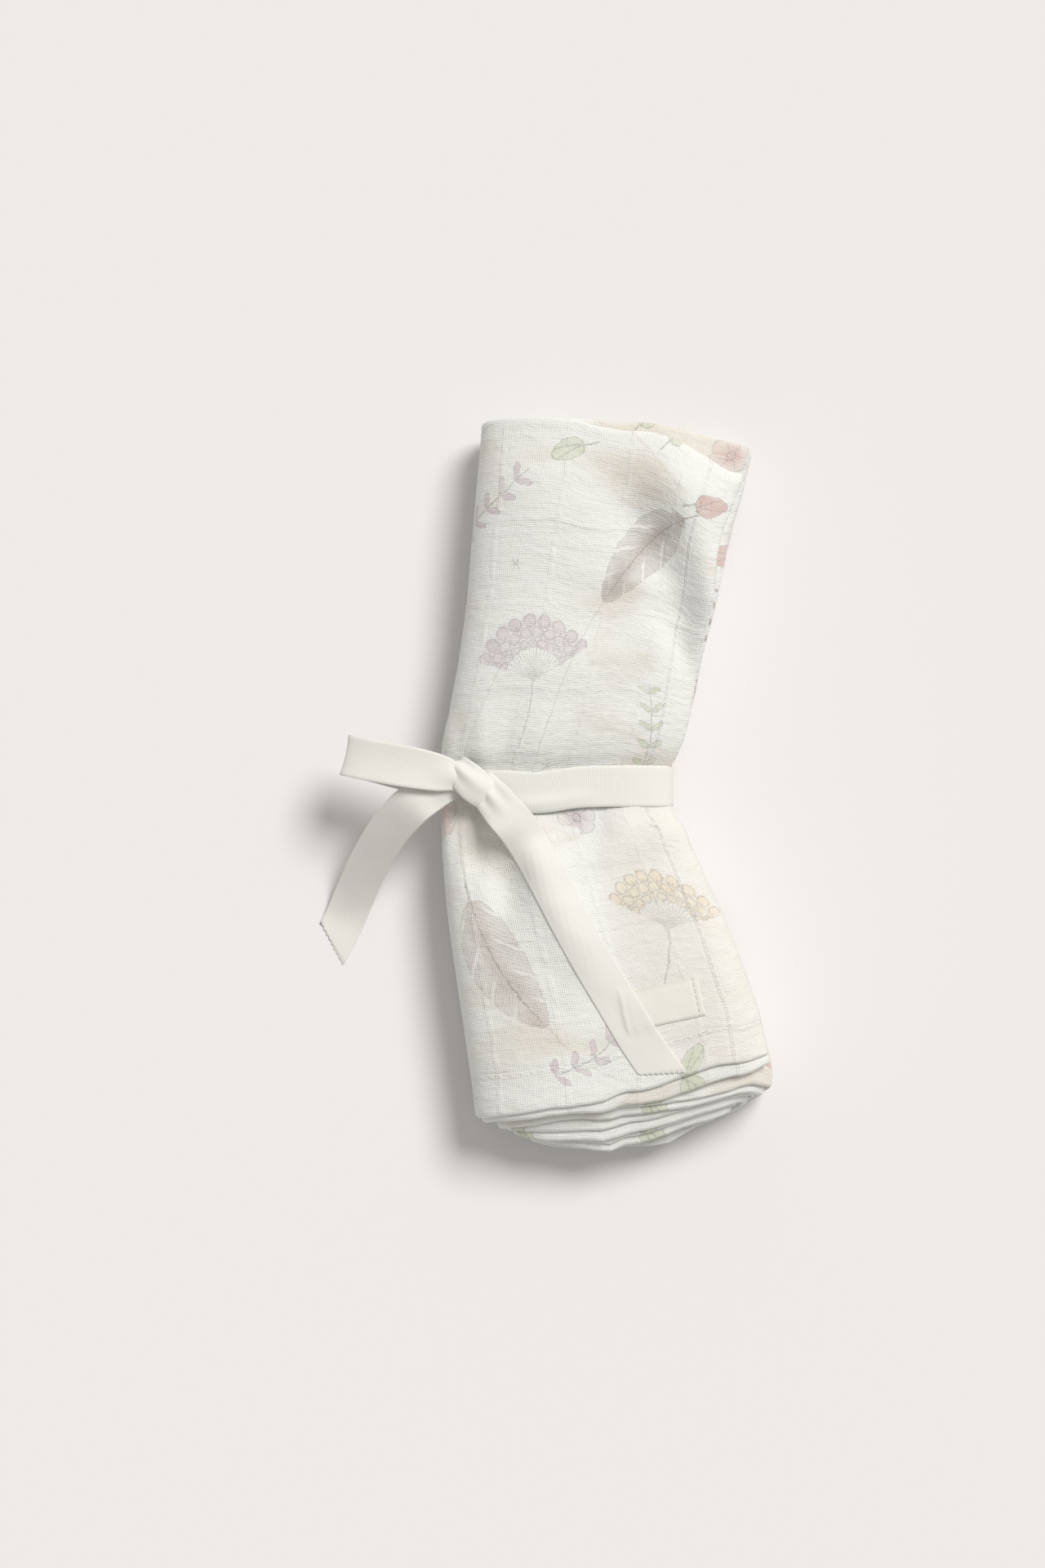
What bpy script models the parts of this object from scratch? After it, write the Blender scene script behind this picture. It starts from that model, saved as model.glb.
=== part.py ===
"""Rolled swaddle blanket, tied round its waist with a ribbon.

Metres, +Z up. The roll lies on the floor with its axis along Y and its outer edge on top at +X.
The blanket is a square muslin folded in three along Y and then wound up along its other side. It is
one solid of the wound form, with the step at its outer edge and the turns in relief at both ends. It
starts as a plain flattened spiral, which shape_point then gives its waist, uneven ends and soft folds.
"""

import math

import bmesh
import bpy
import numpy as np
from mathutils import Matrix, Vector
from mathutils.bvhtree import BVHTree

MM = 0.001

# The plain spiral that the roll starts as
HALF_WIDTH = 44 * MM
HEIGHT = 38 * MM
LENGTH = 205 * MM
PITCH = 4.35 * MM  # from one turn to the next: the cloth folded in three, and a little air
END_TURNS = 3  # how many turns show at the ends
LEFT_POWER, RIGHT_POWER = 2.6, 3.6  # how square the rounded top is, at its left and right
BASE_POWER = 4.6  # the base is nearly flat
BASE_FLAT = 0.35 * MM  # how much of the base is pressed level
OUTER_EDGE_DEG = 18  # where the outer edge lies, up from the right-hand side
STEP_FROM = 0.8  # the part of a turn after which it ducks under the one before
TURN_COLUMNS = 48
# Where the rows across the roll lie, as shares of its length, closest at the waist
ROWS = (
    (0, 0.035, 0.09, 0.17, 0.25, 0.33, 0.39)
    + (0.43, 0.46, 0.49, 0.52, 0.55, 0.59)
    + (0.635, 0.68, 0.73, 0.78, 0.83, 0.88, 0.93, 0.97, 1)
)
# A turn's edge as the ends show it: the share of the way to the next turn, and the depth in from the end
EDGE_RELIEF = [(0.0, 0.7 * MM), (0.14, 0.0), (0.6, 0.0), (0.82, 2.6 * MM)]

# Sections across the roll, from its foot to its head: y, left side, right side, underside, top
SECTIONS = [
    (-118, -12.0, 79.2, 0.0, 33.5),
    (-104, -14.6, 79.5, 0.0, 36.0),
    (-90, -16.8, 81.8, 0.0, 37.2),
    (-76, -18.8, 77.7, 0.0, 37.6),
    (-60, -21.2, 72.2, 0.0, 37.6),
    (-43, -23.6, 65.4, 0.0, 37.2),
    (-25, -25.2, 57.2, 1.0, 36.6),
    (-14, -25.7, 52.4, 2.3, 34.9),
    (-8, -26.0, 48.6, 3.0, 31.0),
    (-1, -26.0, 46.8, 3.2, 30.2),
    (6, -25.9, 48.2, 3.0, 30.5),
    (12, -25.4, 52.0, 2.2, 33.7),
    (22, -23.4, 55.2, 1.0, 35.7),
    (38, -20.4, 58.6, 0.0, 36.4),
    (57, -17.8, 63.6, 0.0, 36.6),
    (78, -16.0, 68.2, 0.0, 37.2),
    (98, -14.2, 73.6, 0.0, 37.0),
    (118, -12.4, 76.4, 0.0, 35.0),
]

# Soft ridges and troughs in the top: x, y, length, width, angle in degrees, height
FOLDS = [
    (50, 92, 38, 20, -36, 4.6),  # the corner of the outer edge stands up
    (57, 70, 50, 17, -68, 5.4),
    (61, 53, 42, 15, 84, 6.4),  # and the ridge runs on down the free side
    (40, 73, 44, 14, -62, -2.2),  # beside a trough
    (50, 46, 32, 10, -80, -2.2),
    (64, -58, 80, 30, -70, 2.4),
    (-9, -23, 30, 15, -52, -4.6),  # the tie draws the cloth in on both sides of its long tail
    (10, -38, 50, 16, -60, 3.2),
    (-16, -38, 66, 26, -80, -2.0),
    (14, -15, 28, 13, 4, -6.2),
    (10, 88, 40, 26, 20, 1.2),
    (14, 38, 46, 14, 8, 1.2),
    (30, -27, 44, 12, 14, -1.8),
    (-4, -34, 40, 9, 78, -1.6),
    (44, -62, 46, 24, -60, 0.7),
]

# The foot and the head, as lines across the roll: y at the left, what it gains by the right, its power
FOOT_TOP = (-105.0, 20.0, 1.5)
FOOT_BASE = (-116.5, 16.0, 2.4)
HEAD_LEVEL = 114.0
HEAD_FALL = 8.0  # at the right
FOOT_STAGGER = 0.45  # the share of the height over which the foot's edges step out
OUTER_FALL, OUTER_RISE = 11.0 * MM, 9.0 * MM  # how far the outer edge stops short of the head and the foot
OUTER_REACH = 50 * MM  # measured from the outer edge, where it starts to
CORNER, CORNER_ROUND = 0.16, 3.5 * MM  # the rounded corners at the left of both ends

# The ribbon
RIBBON_WIDTH = 12.7 * MM
RIBBON_THICK = 1.0 * MM
CLEARANCE = 0.35 * MM
BAND_Y = -1.0 * MM
BAND_POINTS = 48
BAND_CLEARANCE = 0.6 * MM
BAND_SECTION = (-26.2, 48.8, 2.8, 31.3)  # left, right, underside and top of the cloth that it is tied round
KNOT_AT = (-15.6, 0.4)  # x, y
KNOT_SIZE = (17.0 * MM, 13.5 * MM, 7.5 * MM)
KNOT_CUTS, KNOT_POWER = 4, 3.0  # how finely it is cut up and how square it is
KNOT_TURN, KNOT_TILT = math.radians(-42), math.radians(-17)
LOOP_TURN = math.radians(167.5)
# The loop's centreline: out from the knot, up from the knot's middle
LOOP = [
    (1, 1.4),
    (9, 2.9),
    (21, 3.4),
    (32, 1.8),
    (39, -0.6),
    (41.4, -2.9),
    (39, -4.8),
    (31, -4.2),
    (18, -2.6),
    (8, -1.9),
    (1, -1.4),
]
# The short tail falls over the roll's side to the floor: x, y, z
SHORT_TAIL = [
    (-17, 0, 32.4),
    (-26, -1.6, 32.4),
    (-35, -6.6, 29.8),
    (-43, -15.4, 21.5),
    (-49.6, -26.8, 10.8),
    (-54.8, -37.8, 3.2),
    (-58.7, -46.7, 0.6),
    (-62, -53.5, 0.55),
]
# The long tail lies along the top: x, y, height above the cloth, the twist across it in degrees
LONG_TAIL = [
    (-14, -2, 3.2, 0),
    (-8.5, -6.5, 3.0, -6),
    (-2.5, -12.5, 2.4, -12),
    (3.6, -21, 2.0, -12),
    (9.8, -32, 2.0, -9),
    (15.8, -43, 2.0, -6),
    (22.4, -55.5, 2.2, -3),
    (28.8, -67.5, 2.6, 0),
    (35.6, -79, 2.4, 0),
    (42.4, -88.6, 1.6, 0),
]
SHORT_CUT, LONG_CUT = -9.0 * MM, -9.0 * MM  # how much longer one edge is than the other at the cut end

# The label
LABEL_SIZE = (25.0 * MM, 12.0 * MM, 1.0 * MM)
LABEL_AT = (43.6, -68.8)
LABEL_TURN = math.radians(12)
LABEL_CELLS = (6, 3)

MUSLIN = ("muslin", (0.87, 0.86, 0.83), 0.95)
GROSGRAIN = ("ribbon", (0.90, 0.88, 0.80), 0.75)
SATIN = ("label", (0.89, 0.88, 0.78), 0.70)


def smooth_step(t):
    t = min(max(t, 0.0), 1.0)
    return t * t * (3 - 2 * t)


def blend(a, b, t):
    return a + (b - a) * t


def through(points, at):
    """The smooth curve through points, at a place counted in points from 0."""
    i = min(max(int(at), 0), len(points) - 2)
    t = at - i
    last = len(points) - 1
    before, a, b, after = (np.array(points[min(max(k, 0), last)], float) for k in range(i - 1, i + 3))
    square = 2 * before - 5 * a + 4 * b - after
    cube = 3 * (a - b) + after - before
    return 0.5 * (2 * a + (b - before) * t + square * t**2 + cube * t**3)


def section_at(y):
    """(left side, right side, underside, top) of the roll at y."""
    rows = [row[0] * MM for row in SECTIONS]
    row = float(np.interp(y, rows, range(len(rows))))
    left, right, low, high = through([r[1:] for r in SECTIONS], row) * MM
    return left, right, max(low, 0.0), high


def fold_height(x, y):
    total = 0.0
    for fold_x, fold_y, length, width, angle, height in FOLDS:
        dx, dy = x - fold_x * MM, y - fold_y * MM
        c, s = math.cos(math.radians(angle)), math.sin(math.radians(angle))
        along, across = (dx * c + dy * s) / (length / 2 * MM), (dy * c - dx * s) / (width / 2 * MM)
        total += height * MM * math.exp(-(along**2) - across**2)
    return total


def end_line(line, share):
    """y of a line across the roll's foot, at a share of the way from left to right."""
    start, gain, power = line
    return (start + gain * share**power) * MM


def ends_at(across, depth):
    """(y of the foot, y of the head), from -1 at the left to 1, and from 0 at the top to 1 at the floor."""
    share = (across + 1) / 2
    stagger = smooth_step(depth / FOOT_STAGGER)
    foot = blend(end_line(FOOT_TOP, share), end_line(FOOT_BASE, share), stagger)
    head = (HEAD_LEVEL - HEAD_FALL * max(0.0, (across + 0.08) / 1.08) ** 1.15) * MM
    rounding = CORNER_ROUND * max(0.0, (-across - 1 + CORNER) / CORNER) ** 2
    return foot + rounding, head - rounding


def shape_point(x, along, z):
    """Where a point of the plain spiral lies in the tied roll. along is 0 at the foot and 1 at the head."""
    across, up = min(max(x / HALF_WIDTH, -1), 1), z / HEIGHT
    foot, head = ends_at(across, 1 - up)
    y = blend(foot, head, along)
    left, right, low, high = section_at(y)
    place = blend(left, right, (x / HALF_WIDTH + 1) / 2)
    return Vector((place, y, low + up * (high - low + fold_height(place, y))))


def rounded(angle, half_width, half_height):
    """A point of the roll's rounded section, from its middle."""
    c, s = math.cos(angle), math.sin(angle)
    top_power = RIGHT_POWER if c > 0 else LEFT_POWER
    power = 2 / (top_power if s > 0 else BASE_POWER)
    return math.copysign(abs(c) ** power, c) * half_width, math.copysign(abs(s) ** power, s) * half_height


def spiral_point(column):
    """A point of the cloth's outer face in the plain spiral, at a column counted from the outer edge."""
    turn = column / TURN_COLUMNS
    whole = math.floor(turn)
    inset = PITCH * (whole + smooth_step((turn - whole - STEP_FROM) / (1 - STEP_FROM)))
    angle = math.radians(OUTER_EDGE_DEG) + 2 * math.pi * turn
    x, z = rounded(angle, HALF_WIDTH - inset, HEIGHT / 2 - inset)
    return x, z + HEIGHT / 2


def span_at(column):
    """(foot, head) of the cloth at a column, as lengths along the roll. The outer edge is the shortest."""
    if column > TURN_COLUMNS / 2:
        return 0.0, LENGTH
    near = max(0.0, 1 - (spiral_point(0)[0] - spiral_point(column)[0]) / OUTER_REACH)
    return near * OUTER_RISE, LENGTH - near * OUTER_FALL


def material(name, colour, roughness):
    made = bpy.data.materials.get(name) or bpy.data.materials.new(name)
    made.use_nodes = True
    shader = made.node_tree.nodes["Principled BSDF"]
    shader.inputs["Base Color"].default_value = (*colour, 1)
    shader.inputs["Roughness"].default_value = roughness
    shader.inputs["Metallic"].default_value = 0
    return made


def sheet_mesh(name, grid, closed=False):
    """A mesh of one surface over a grid of points, whose columns join up into a ring if closed."""
    shape = bmesh.new()
    rows = [[shape.verts.new(p) for p in row] for row in grid]
    for a, b in zip(rows, rows[1:] + rows[:1] if closed else rows[1:]):
        for i in range(len(a) - 1):
            shape.faces.new((a[i], a[i + 1], b[i + 1], b[i]))
    mesh = bpy.data.meshes.new(name)
    shape.to_mesh(mesh)
    shape.free()
    return mesh


def thickened(name, mesh, thickness, offset):
    """A closed mesh from an open one. offset is 1 to grow along its normals, -1 against, 0 both ways."""
    guide = bpy.data.objects.new(name, mesh)
    bpy.context.scene.collection.objects.link(guide)
    solidify = guide.modifiers.new("thickness", "SOLIDIFY")
    solidify.thickness = thickness
    solidify.offset = offset
    solidify.use_even_offset = True
    graph = bpy.context.evaluated_depsgraph_get()
    made = bpy.data.meshes.new_from_object(guide.evaluated_get(graph))
    bpy.data.objects.remove(guide)
    shape = bmesh.new()
    shape.from_mesh(made)
    bmesh.ops.recalc_face_normals(shape, faces=shape.faces)
    shape.to_mesh(made)
    shape.free()
    return made


def add_part(name, mesh, finish, collection, frame):
    part = bpy.data.objects.new(name, mesh)
    mesh.materials.clear()
    mesh.materials.append(material(*finish))
    mesh.shade_smooth()
    mesh.set_sharp_from_angle(angle=math.radians(40))
    collection.objects.link(part)
    part.parent = frame
    return part


def edge_sheet(inwards):
    """The turns' edges at one end of the plain spiral: inwards is 1 at the foot and -1 at the head."""
    grid = []
    for column in range(END_TURNS * TURN_COLUMNS + 1):
        row = []
        for share, depth in EDGE_RELIEF + [(1.0, EDGE_RELIEF[0][1])]:
            owner = column + TURN_COLUMNS if share == 1 else column
            end = span_at(owner)[0 if inwards > 0 else 1] + inwards * depth
            (x, z), (next_x, next_z) = spiral_point(column), spiral_point(column + TURN_COLUMNS)
            row.append((blend(x, next_x, share), end, blend(z, next_z, share)))
        grid.append(row)
    return grid


def side_sheet():
    """The roll's outer face in the plain spiral, once round from the outer edge."""
    relief = EDGE_RELIEF[0][1]
    grid = []
    for column in range(TURN_COLUMNS + 1):
        foot, head = span_at(column)
        x, z = spiral_point(column)
        grid.append([(x, blend(foot + relief, head - relief, share), z) for share in ROWS])
    return grid


def step_sheet(foot_edges, head_edges):
    """The outer edge's own face, between the first columns of the turns' edges at both ends."""
    grid = []
    for foot, head in zip(foot_edges[0], head_edges[0]):
        grid.append([tuple(blend(a, b, share) for a, b in zip(foot, head)) for share in ROWS])
    return grid


def blanket_mesh():
    """The roll's faces in the plain spiral, joined into one closed body and then shaped."""
    foot_edges, head_edges = edge_sheet(1), edge_sheet(-1)
    shape = bmesh.new()
    for grid in (side_sheet(), step_sheet(foot_edges, head_edges), foot_edges, head_edges):
        shape.from_mesh(sheet_mesh("roll_face", grid))
    bmesh.ops.remove_doubles(shape, verts=shape.verts, dist=0.01 * MM)
    filled = bmesh.ops.holes_fill(shape, edges=shape.edges)
    bmesh.ops.triangulate(shape, faces=filled["faces"])
    bmesh.ops.recalc_face_normals(shape, faces=shape.faces)
    for vertex in shape.verts:
        x, along, z = vertex.co
        vertex.co = shape_point(x, along / LENGTH, max(z - BASE_FLAT, 0.0))
    mesh = bpy.data.meshes.new("wound_cloth")
    shape.to_mesh(mesh)
    shape.free()
    return mesh


def top_at(roll, x, y):
    """Height of the roll's top at x, y, or the most within a millimetre or two of there."""
    reach = 1.5 * MM
    found = []
    for dx in (-reach, 0, reach):
        for dy in (-reach, 0, reach):
            hit = roll.ray_cast(Vector((x + dx, y + dy, 1)), Vector((0, 0, -1)))[0]
            if hit:
                found.append(hit.z)
    return max(found)


def ribbon_strip(centre, across, cut=0.0):
    """The grid of a ribbon along its centreline, given its direction of width at each point."""
    grid = []
    for i, (point, side) in enumerate(zip(centre, across)):
        forward = centre[min(i + 1, len(centre) - 1)] - centre[max(i - 1, 0)]
        extra = forward.normalized() * cut / 2 if i == len(centre) - 1 else Vector()
        half = side.normalized() * RIBBON_WIDTH / 2
        grid.append([point - half - extra, point, point + half + extra])
    return grid


def level_across(centre, twists=None):
    """Directions of width that are level and square to the centreline, turned about it by the twists."""
    sides = []
    for i in range(len(centre)):
        forward = (centre[min(i + 1, len(centre) - 1)] - centre[max(i - 1, 0)]).normalized()
        side = forward.cross(Vector((0, 0, 1)))
        turn = Matrix.Rotation(math.radians(twists[i]) if twists else 0.0, 3, forward)
        sides.append(turn @ side)
    return sides


def band_mesh():
    left, right, low, high = (side * MM for side in BAND_SECTION)
    half_width = (right - left) / 2 + BAND_CLEARANCE
    half_height = (high - low) / 2 + BAND_CLEARANCE
    grid = []
    for i in range(BAND_POINTS):
        x, z = rounded(2 * math.pi * i / BAND_POINTS, half_width, half_height)
        x += (left + right) / 2
        z += (low + high) / 2
        grid.append([(x, BAND_Y + edge * RIBBON_WIDTH, z) for edge in (-0.5, 0, 0.5)])
    return thickened("band", sheet_mesh("band", grid, closed=True), RIBBON_THICK, 1)


def knot_middle(roll):
    x, y = KNOT_AT[0] * MM, KNOT_AT[1] * MM
    return Vector((x, y, top_at(roll, x, y) + CLEARANCE + RIBBON_THICK * 0.4 + KNOT_SIZE[2] / 2))


def knot_mesh(roll):
    shape = bmesh.new()
    bmesh.ops.create_cube(shape, size=1)
    bmesh.ops.subdivide_edges(shape, edges=shape.edges, cuts=KNOT_CUTS, use_grid_fill=True)
    for vertex in shape.verts:
        x, y, z = vertex.co * 2
        vertex.co /= (abs(x) ** KNOT_POWER + abs(y) ** KNOT_POWER + abs(z) ** KNOT_POWER) ** (1 / KNOT_POWER)
    turn = Matrix.Rotation(KNOT_TILT, 4, "Y") @ Matrix.Rotation(KNOT_TURN, 4, "Z")
    size = Matrix.Diagonal((*KNOT_SIZE, 1))
    bmesh.ops.transform(shape, matrix=Matrix.Translation(knot_middle(roll)) @ turn @ size, verts=shape.verts)
    mesh = bpy.data.meshes.new("knot")
    shape.to_mesh(mesh)
    shape.free()
    return mesh


def smooth_run(points, count):
    return [through(points, i * (len(points) - 1) / (count - 1)) for i in range(count)]


def loop_mesh(roll):
    middle = knot_middle(roll)
    out = Vector((math.cos(LOOP_TURN), math.sin(LOOP_TURN), 0))
    centre = [middle + out * r * MM + Vector((0, 0, h * MM)) for r, h in smooth_run(LOOP, 25)]
    side = out.cross(Vector((0, 0, 1)))
    return thickened("loop", sheet_mesh("loop", ribbon_strip(centre, [side] * len(centre))), RIBBON_THICK, 0)


def short_tail_mesh():
    centre = [Vector(p) * MM for p in smooth_run(SHORT_TAIL, 16)]
    for point in centre:
        point.z = max(point.z, RIBBON_THICK * 0.53)
    grid = ribbon_strip(centre, level_across(centre), SHORT_CUT)
    return thickened("short_tail", sheet_mesh("short_tail", grid), RIBBON_THICK, 0)


def long_tail_mesh(roll):
    run = smooth_run(LONG_TAIL, 19)
    centre = [Vector((x * MM, y * MM, top_at(roll, x * MM, y * MM) + h * MM)) for x, y, h, _ in run]
    twists = [row[3] for row in run]
    grid = ribbon_strip(centre, level_across(centre, twists), LONG_CUT)
    return thickened("long_tail", sheet_mesh("long_tail", grid), RIBBON_THICK, 0)


def ribbon_mesh(helpers, roll):
    """The band, knot, loop and tails are one length of ribbon, so they are joined into one body."""
    pieces = []
    for mesh in (band_mesh(), knot_mesh(roll), loop_mesh(roll), short_tail_mesh(), long_tail_mesh(roll)):
        piece = bpy.data.objects.new(mesh.name, mesh)
        piece.hide_render = True
        piece.display_type = "WIRE"
        helpers.objects.link(piece)
        pieces.append(piece)
    band = pieces[0]
    for piece in pieces[1:]:
        join = band.modifiers.new(piece.name, "BOOLEAN")
        join.operation = "UNION"
        join.object = piece
    graph = bpy.context.evaluated_depsgraph_get()
    return bpy.data.meshes.new_from_object(band.evaluated_get(graph))


def label_mesh(roll):
    turn = Matrix.Rotation(LABEL_TURN, 2)
    grid = []
    for i in range(LABEL_CELLS[0] + 1):
        row = []
        for j in range(LABEL_CELLS[1] + 1):
            along = (i / LABEL_CELLS[0] - 0.5) * LABEL_SIZE[0]
            over = (j / LABEL_CELLS[1] - 0.5) * LABEL_SIZE[1]
            x, y = turn @ Vector((along, over)) + Vector(LABEL_AT) * MM
            row.append((x, y, top_at(roll, x, y) + CLEARANCE))
        grid.append(row)
    return thickened("label", sheet_mesh("label", grid), LABEL_SIZE[2], -1)


def main():
    for old in list(bpy.data.objects):
        bpy.data.objects.remove(old)
    blanket = bpy.data.collections.new("rolled_swaddle_blanket")
    helpers = bpy.data.collections.new("ribbon_pieces")
    bpy.context.scene.collection.children.link(blanket)
    bpy.context.scene.collection.children.link(helpers)

    frame = bpy.data.objects.new("rest_point", None)
    blanket.objects.link(frame)

    cloth = add_part("blanket_roll", blanket_mesh(), MUSLIN, blanket, frame).data
    roll = BVHTree.FromPolygons([v.co for v in cloth.vertices], [p.vertices for p in cloth.polygons])
    add_part("sewn_label", label_mesh(roll), SATIN, blanket, frame)
    add_part("ribbon_tie", ribbon_mesh(helpers, roll), GROSGRAIN, blanket, frame)

    # The origin is the middle of the object's box, on the floor
    corners = np.array([v.co for part in frame.children for v in part.data.vertices])
    middle = (corners.min(axis=0) + corners.max(axis=0)) / 2
    frame.location = (-middle[0], -middle[1], 0)


main()
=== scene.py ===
"""Looks of the rolled swaddle blanket: one wound muslin, its tied ribbon and its label."""

import math

import bpy
import numpy as np
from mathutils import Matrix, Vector, noise
from mathutils.bvhtree import BVHTree


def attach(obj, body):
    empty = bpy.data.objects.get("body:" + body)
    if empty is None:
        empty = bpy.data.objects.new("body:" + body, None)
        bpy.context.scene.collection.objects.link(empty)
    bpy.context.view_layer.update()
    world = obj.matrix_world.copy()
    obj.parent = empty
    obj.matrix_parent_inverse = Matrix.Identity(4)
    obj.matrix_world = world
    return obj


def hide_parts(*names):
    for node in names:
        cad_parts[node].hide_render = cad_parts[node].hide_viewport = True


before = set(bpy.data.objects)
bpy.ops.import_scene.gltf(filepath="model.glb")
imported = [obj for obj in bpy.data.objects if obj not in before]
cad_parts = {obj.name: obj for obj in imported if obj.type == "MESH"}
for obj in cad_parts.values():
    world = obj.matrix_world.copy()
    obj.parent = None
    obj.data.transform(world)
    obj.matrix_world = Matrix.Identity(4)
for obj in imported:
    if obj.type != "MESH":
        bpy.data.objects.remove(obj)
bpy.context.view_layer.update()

MM = 0.001
# The tables below are in millimetres about the photograph's middle, and this is the object's own middle there
MIDDLE = (6.54, -1.23)

# ---------------- the roll's form

HALF_WIDTH, HEIGHT, LENGTH = 44.0, 38.0, 205.0  # the plain roll, before the tie shapes it
TURNS, PITCH, PACK = 4.5, 4.35, 3.1  # of the wound cloth: turns, from one to the next, folded thickness
LEFT_POWER, RIGHT_POWER = 2.6, 3.6  # how square the rounded top is, at its left and right
BASE_POWER, BASE_FLAT = 4.6, 0.35  # how square the underside is, and how much of it is pressed flat
OUTER_EDGE_DEG = 18.0  # where round the roll the cloth's outer edge lies
STEP_FROM, STEP_TO = 0.83, 1.03  # the part of a turn in which the cloth steps in under the turn before
PLY = 1.22  # from one layer of the folded cloth to the next
THICK, RIM = 0.62, 0.45  # the cloth's thickness, and the share of it by which its edges round out
HEM, HEM_EXTRA, HEM_STEP = 11.0, 0.45, 1.5  # the hem's width, how much thicker it is, and how soon it gets so
SWELL, SWELL_REACH = (0.42, 0.26), 11.0  # how much the layers part towards the foot and the head
FOOT_BEND, HEAD_BEND = 1.3, 1.15  # how far the folds there stand out, by their radius

# The roll along its length: y, left side, right side, underside, top
SECTIONS = np.array([
    (-118, -12.0, 79.2, 0.0, 33.5),
    (-104, -14.6, 79.5, 0.0, 36.0),
    (-90, -16.8, 81.8, 0.0, 37.2),
    (-76, -18.8, 77.7, 0.0, 37.6),
    (-60, -21.2, 72.2, 0.0, 37.6),
    (-43, -23.6, 65.4, 0.0, 37.2),
    (-25, -25.2, 57.2, 1.0, 36.6),
    (-14, -25.7, 52.4, 2.3, 34.9),
    (-8, -26.0, 48.6, 3.0, 31.0),
    (-1, -26.0, 46.8, 3.2, 30.2),
    (5, -25.9, 48.0, 3.0, 30.6),
    (9, -25.7, 50.2, 2.6, 33.6),
    (14, -25.2, 52.6, 2.0, 35.3),
    (22, -23.4, 55.2, 1.0, 36.2),
    (38, -20.4, 58.6, 0.0, 36.6),
    (57, -17.8, 63.6, 0.0, 36.6),
    (78, -16.0, 68.2, 0.0, 37.2),
    (98, -14.2, 73.6, 0.0, 37.0),
    (118, -12.4, 76.4, 0.0, 35.0),
])

# Soft ridges and troughs in the top: x, y, length, width, angle in degrees, height
FOLDS = [
    (50, 92, 38, 20, -36, 4.6),
    (57, 70, 50, 17, -68, 5.4),
    (61, 53, 42, 15, 84, 6.4),
    (40, 73, 44, 14, -62, -2.2),
    (50, 46, 32, 10, -80, -2.2),
    (64, -58, 80, 30, -70, 2.4),
    (-10, -24, 32, 16, -56, -5.4),
    (10, -38, 50, 16, -60, 3.2),
    (-16, -38, 66, 26, -80, -2.0),
    (14, -15, 28, 13, 4, -4.4),
    (10, 88, 40, 26, 20, 1.2),
    (14, 38, 46, 14, 8, 1.2),
    (30, -27, 44, 12, 14, -1.8),
    (-4, -34, 40, 9, 78, -1.6),
    (44, -62, 46, 24, -60, 0.7),
]

# Finer creases, in the same columns, most of them where the tie gathers the cloth
CREASES = [
    (-21, -20, 30, 4.0, 84, -1.3),
    (-15, -24, 34, 4.5, 78, -1.1),
    (-8, -19, 22, 3.6, 70, 1.0),
    (24, -12, 18, 3.6, 74, -0.9),
    (32, -12, 20, 4.0, 62, 0.9),
    (39, -13, 20, 4.0, 50, -0.9),
    (-20, 14, 28, 4.0, 98, -1.2),
    (-13, 16, 26, 3.6, 90, 1.0),
    (-5, 15, 24, 4.0, 80, -1.1),
    (4, 13, 20, 3.6, 72, 0.8),
    (14, 13, 22, 4.0, 64, -1.0),
    (25, 13, 20, 3.6, 54, 0.9),
    (34, 12, 20, 4.0, 42, -1.0),
    (34, 63, 42, 7.0, -14, 1.0),
    (47, 46, 26, 6.0, -58, -1.0),
    (8, 96, 26, 7.0, 30, 0.7),
    (60, -52, 34, 6.0, -74, 0.5),
    (8, -70, 44, 8.0, 64, -0.7),
]

# Slow unevenness of the top: height, scale, how much closer it is along the roll, seed
UNEVEN = [(0.35, 21.0, 1.0, 3), (0.22, 9.0, 1.6, 5)]

# How far in the cloth's free side lies, by y, and how much of that its outer, middle and inner layers have
FREE_SIDE = np.array([
    (-90, 3.8), (-72, 1.2), (-30, 0.2), (0, 0.2), (20, 1.2), (45, 4.6), (70, 6.0), (98, 5.4),
])
LAYER_SHARES = (1.0, 0.35, 0.7)
FREE_SIDE_REACH = 40.0
FREE_SIDE_WANDER, WANDER_SCALE = 1.3, 22.0  # how far it also wanders, and over what length
# How far the fold at the head's right corner stands open, and how far that goes in and round
PUFF, PUFF_DEPTH, PUFF_REACH = 2.6, 15.0, 46.0

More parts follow.
